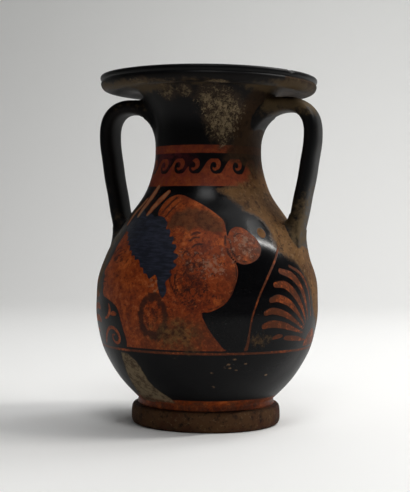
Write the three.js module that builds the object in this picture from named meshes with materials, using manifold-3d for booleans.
// A small pelike of fired clay, thrown on the wheel: a hollow pot with a low, sagging belly,
// a slender neck that flares into a wide rolled lip, a disc foot with a shallow recess under it,
// and two strap handles that rise from the neck and come down on the shoulder. Firing has made
// it all one piece.
//
// Millimetres, +Z up. The origin is the centre of the ring that the foot stands on. The
// handles lie along +X and -X, and the painted front faces -Y.
import * as THREE from "three";
import { mergeVertices } from "three/addons/utils/BufferGeometryUtils.js";
import Module from "manifold-3d";

// The whole pot.
const HEIGHT = 200;
const WALL = 4.5;
const FLOOR = 6.5;

// The foot: a disc with a rounded edge, a groove over it, and the ring that it stands on.
const FOOT_RADIUS = 43.2;
const FOOT_HEIGHT = 11.4;
const FOOT_EDGE = 3.4;
const GROOVE_DEPTH = 3.9;
const STEM_HEIGHT = 3.2;
const RING_WIDTH = 11;
const RECESS_DEPTH = 3.6;
const RECESS_SLOPE = 2.4;

// The body, from its widest place to its narrowest.
const BELLY_RADIUS = 64.5;
const BELLY_HEIGHT = 68;
const SHOULDER_RADIUS = 45.6;
const SHOULDER_HEIGHT = 119;
const NECK_RADIUS = 30.5;
const NECK_DROP = 39;

// The lip: its thick rolled edge, the hollow behind the roll on its underside, and the cove
// where the neck's flare runs out under it. Each drop is counted from the top of the lip.
const LIP_RADIUS = 62.4;
const LIP_WIDEST_DROP = 3.4;
const LIP_ROUNDING = 3.1;
const LIP_TOP_WIDTH = 1.8;
const ROLL_DROP = 9.3;
const ROLL_WIDTH = 6.2;
const COVE_RADIUS = 39.5;
const COVE_DROP = 9.5;
const COVE_REACH = 9;
const COVE_RISE = 2.7;

// The handles. Each height but the last is a drop below the top of the lip.
const HANDLE_WIDTH = 19;
const HANDLE_THICKNESS = 8.6;
const HANDLE_FLARE = 0.3;
const HANDLE_FLARE_LENGTH = 16;
const HANDLE_BITE = 0.6;
const HANDLE_ROOT_DROP = 28;
const HANDLE_CROWN_RADIUS = 48.5;
const HANDLE_CROWN_DROP = 16.4;
const HANDLE_REACH = 62.8;
const HANDLE_ELBOW_DROP = 32;
const HANDLE_FOOT_HEIGHT = 101.5;

// The directions in which the outline and the handles run, in degrees above straight out.
const UP = 90;
const OUT = 0;
const IN = 180;
const DOWN = -90;
const STEM_SLOPE = 43;
const SHOULDER_SLOPE = 125;
const COVE_SLOPE = 54;
const MOUTH_SLOPE = 4;
const HANDLE_RISE = 44;
const HANDLE_LANDING = -100;

// How finely the round forms are cut.
const SIDES = 48;
const HANDLE_SIDES = 14;
const STRAP_SQUARENESS = 3;

const point = (radius, height) => new THREE.Vector2(radius, height);

// A smooth stretch between two points, which leaves the first and reaches the second in the
// given directions. The pulls are how far it keeps to each, as shares of the straight way.
function stretch(from, leaving, to, reaching, pull = 0.38, lastPull = pull) {
  const span = from.distanceTo(to);
  const towards = (degrees, share) => {
    const angle = THREE.MathUtils.degToRad(degrees);
    return point(Math.cos(angle), Math.sin(angle)).multiplyScalar(span * share);
  };
  return new THREE.CubicBezierCurve(
    from,
    from.clone().add(towards(leaving, pull)),
    to.clone().sub(towards(reaching, lastPull)),
    to,
  );
}

// The points of several stretches in a row, each with its own number of steps, moved
// sideways off the outline by a wall's thickness where one is given.
function follow(stretches, thickness = 0) {
  const points = [];
  stretches.forEach(([curve, steps], place) => {
    for (let step = place ? 1 : 0; step <= steps; step++) {
      const tangent = curve.getTangent(step / steps);
      const inward = point(-tangent.y, tangent.x).multiplyScalar(thickness);
      points.push(curve.getPoint(step / steps).add(inward));
    }
  });
  return points;
}

const neckHeight = HEIGHT - NECK_DROP;
const stem = point(FOOT_RADIUS - GROOVE_DEPTH, FOOT_HEIGHT + STEM_HEIGHT);
const belly = point(BELLY_RADIUS, BELLY_HEIGHT);
const shoulder = point(SHOULDER_RADIUS, SHOULDER_HEIGHT);
const neck = point(NECK_RADIUS, neckHeight);
const cove = point(COVE_RADIUS, HEIGHT - COVE_DROP);

// The body's outside, from the top of the foot to the cove under the lip.
const bodyStretches = [
  [stretch(stem, STEM_SLOPE, belly, UP, 0.2, 0.5), 10],
  [stretch(belly, UP, shoulder, SHOULDER_SLOPE, 0.25, 0.6), 8],
  [stretch(shoulder, SHOULDER_SLOPE, neck, UP, 0.25, 0.55), 8],
  [stretch(neck, UP, cove, COVE_SLOPE, 0.5), 6],
];
const bodyOutline = follow(bodyStretches);

// The radius of the body's outside at a height.
function bodyRadius(height) {
  const above = Math.max(
    1,
    bodyOutline.findIndex((p) => p.y > height),
  );
  const [low, high] = [bodyOutline[above - 1], bodyOutline[above]];
  return THREE.MathUtils.mapLinear(height, low.y, high.y, low.x, high.x);
}

// The foot, from its recess round the standing ring and its edge to the groove over it.
function footOutline() {
  const ringOutside = FOOT_RADIUS - FOOT_EDGE;
  const ringInside = ringOutside - RING_WIDTH;
  const edge = point(FOOT_RADIUS, FOOT_HEIGHT / 2);
  const groove = point(FOOT_RADIUS - GROOVE_DEPTH, FOOT_HEIGHT);
  return [
    point(0, RECESS_DEPTH),
    point(ringInside - RECESS_SLOPE, RECESS_DEPTH),
    point(ringInside, 0),
    ...follow([
      [stretch(point(ringOutside, 0), OUT, edge, UP, 0.5), 4],
      [stretch(edge, UP, groove, IN + 10, 0.6), 5],
    ]),
  ];
}

// The lip's underside and edge, from the cove over the hollow and the roll to the flat on top.
function lipOutline() {
  const hollow = cove.clone().add(point(COVE_REACH, COVE_RISE));
  const roll = point(LIP_RADIUS - ROLL_WIDTH, HEIGHT - ROLL_DROP);
  const edge = point(LIP_RADIUS, HEIGHT - LIP_WIDEST_DROP);
  const topEdge = point(LIP_RADIUS - LIP_ROUNDING, HEIGHT);
  return follow([
    [stretch(cove, COVE_SLOPE, hollow, OUT, 0.4), 3],
    [stretch(hollow, OUT, roll, OUT, 0.4), 3],
    [stretch(roll, OUT, edge, UP, 0.45), 4],
    [stretch(edge, UP, topEdge, IN, 0.5), 3],
  ]).slice(1);
}

// The hollow: the floor, the body's outline a wall's thickness in and cut half as finely, and
// the mouth's flare.
function hollowOutline() {
  const walls = follow(
    bodyStretches.map(([curve, steps]) => [curve, steps / 2]),
    WALL,
  );
  const lowest = walls[0];
  const throat = walls[walls.length - 1];
  const rim = point(LIP_RADIUS - LIP_ROUNDING - LIP_TOP_WIDTH, HEIGHT);
  const floorCentre = point(0, RECESS_DEPTH + FLOOR);
  return [
    ...follow([[stretch(floorCentre, OUT, lowest, STEM_SLOPE, 0.4), 5]]),
    ...walls.slice(1),
    ...follow([[stretch(throat, COVE_SLOPE, rim, MOUTH_SLOPE), 5]]).slice(1),
    point(rim.x, HEIGHT + WALL),
    point(0, HEIGHT + WALL),
  ];
}

const wasm = await Module();
wasm.setup();

// A closed mesh as a solid, with shared vertices merged and the slivers on the axis dropped.
function solidOf(geometry) {
  geometry.deleteAttribute("normal");
  geometry.deleteAttribute("uv");
  const merged = mergeVertices(geometry, 1e-3);
  const corners = merged.index.array;
  const kept = [];
  for (let i = 0; i < corners.length; i += 3) {
    const [a, b, c] = corners.slice(i, i + 3);
    if (a !== b && b !== c && c !== a) kept.push(a, b, c);
  }
  return new wasm.Manifold(
    new wasm.Mesh({
      numProp: 3,
      vertProperties: new Float32Array(merged.attributes.position.array),
      triVerts: new Uint32Array(kept),
    }),
  );
}

// A solid turned on the wheel from an outline that starts and ends on the axis.
function turned(outline) {
  return solidOf(new THREE.LatheGeometry(outline, SIDES).rotateX(Math.PI / 2));
}

// The handle's line in the plane of radius and height, from inside the neck's wall up to the
// crown, round the elbow and down into the shoulder's wall.
function handleLine() {
  const rootHeight = HEIGHT - HANDLE_ROOT_DROP;
  const root = point(bodyRadius(rootHeight) - WALL, rootHeight);
  const crown = point(HANDLE_CROWN_RADIUS, HEIGHT - HANDLE_CROWN_DROP);
  const elbow = point(HANDLE_REACH, HEIGHT - HANDLE_ELBOW_DROP);
  const sunk = bodyRadius(HANDLE_FOOT_HEIGHT) - HANDLE_THICKNESS / 2 - HANDLE_BITE;
  const foot = point(sunk, HANDLE_FOOT_HEIGHT);
  const line = new THREE.CurvePath();
  line.add(stretch(root, HANDLE_RISE, crown, OUT));
  line.add(stretch(crown, OUT, elbow, DOWN, 0.42));
  line.add(stretch(elbow, DOWN, foot, HANDLE_LANDING, 0.22));
  return line;
}

// The strap's rounded section: a superellipse, as places across and through the strap.
function strapSection(width, thickness) {
  const bulge = (value) => Math.sign(value) * Math.abs(value) ** (2 / STRAP_SQUARENESS);
  return Array.from({ length: HANDLE_SIDES }, (_, corner) => {
    const angle = (2 * Math.PI * corner) / HANDLE_SIDES;
    return [(bulge(Math.cos(angle)) * width) / 2, (bulge(Math.sin(angle)) * thickness) / 2];
  });
}

// One handle, on the side that the sign gives: the strap carried along its line, widening
// towards both ends, where the clay was pressed on.
function handle(side) {
  const line = handleLine();
  const length = line.getLength();
  const steps = 26;
  const places = [];
  for (let step = 0; step <= steps; step++) {
    const along = step / steps;
    const { x: radius, y: height } = line.getPointAt(along);
    const tangent = line.getTangentAt(along);
    const fromEnd = Math.min(along, 1 - along) * length;
    const flare = 1 + HANDLE_FLARE * Math.max(0, 1 - fromEnd / HANDLE_FLARE_LENGTH);
    for (const [across, through] of strapSection(HANDLE_WIDTH * flare, HANDLE_THICKNESS)) {
      places.push(
        side * (radius - tangent.y * through),
        side * across,
        height + tangent.x * through,
      );
    }
  }
  const faces = [];
  for (let step = 0; step < steps; step++) {
    for (let corner = 0; corner < HANDLE_SIDES; corner++) {
      const here = step * HANDLE_SIDES + corner;
      const next = step * HANDLE_SIDES + ((corner + 1) % HANDLE_SIDES);
      faces.push(here, next, here + HANDLE_SIDES);
      faces.push(next, next + HANDLE_SIDES, here + HANDLE_SIDES);
    }
  }
  const lastRing = steps * HANDLE_SIDES;
  for (let corner = 1; corner < HANDLE_SIDES - 1; corner++) {
    faces.push(0, corner + 1, corner);
    faces.push(lastRing, lastRing + corner, lastRing + corner + 1);
  }
  const strap = new THREE.BufferGeometry();
  strap.setAttribute("position", new THREE.Float32BufferAttribute(places, 3));
  strap.setIndex(faces);
  return solidOf(strap);
}

// The pot: its outside and both handles in one, less the hollow.
function pelike() {
  const outside = turned([
    ...footOutline(),
    ...bodyOutline,
    ...lipOutline(),
    point(0, HEIGHT),
  ]);
  const made = outside
    .add(handle(1))
    .add(handle(-1))
    .subtract(turned(hollowOutline()))
    .getMesh();
  const geometry = new THREE.BufferGeometry();
  geometry.setAttribute("position", new THREE.BufferAttribute(made.vertProperties, 3));
  geometry.setIndex(new THREE.BufferAttribute(made.triVerts, 1));
  geometry.computeVertexNormals();
  const blackGloss = new THREE.MeshStandardMaterial({
    color: 0x1d1a18,
    roughness: 0.38,
    metalness: 0,
  });
  const mesh = new THREE.Mesh(geometry, blackGloss);
  mesh.name = "pelike";
  return mesh;
}

const object = new THREE.Group();
object.add(pelike());

export default object;
